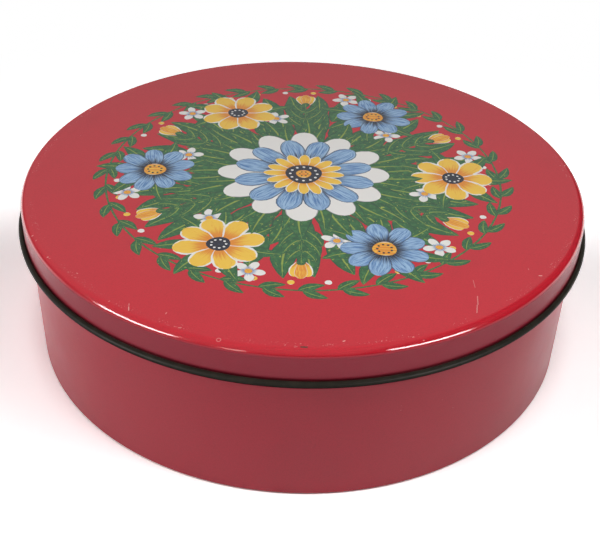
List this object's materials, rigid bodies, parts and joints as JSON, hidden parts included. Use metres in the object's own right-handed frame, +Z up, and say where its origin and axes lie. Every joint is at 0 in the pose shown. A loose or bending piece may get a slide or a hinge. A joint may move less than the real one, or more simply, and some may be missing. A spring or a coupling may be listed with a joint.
{
  "type": "round storage box",
  "caption": "Shallow round tinplate storage box with a smooth wall, a recessed base and a printed slip-over lid that lifts off.",
  "frame": {"origin": "middle of the flat ring under the wall that the box stands on", "axes": "+Z up along the box's axis, the front faces -Y, and the side seam lies just beside +Y"},
  "size_m": [0.2342, 0.2342, 0.0689],
  "materials": {
    "lid_lacquer": "gloss lacquer",
    "wall_lacquer": "gloss lacquer",
    "inside_lacquer": "satin lacquer"
  },
  "bodies": {
    "tin": {"body_wall": "wall_lacquer", "base_panel": "inside_lacquer"},
    "lid": {"lid": "lid_lacquer"}
  },
  "joints": [
    {"name": "lid_lift", "type": "slide", "parent": "tin", "child": "lid", "axis": [0, 0, 1], "range_m": [0, 0.08]}
  ]
}
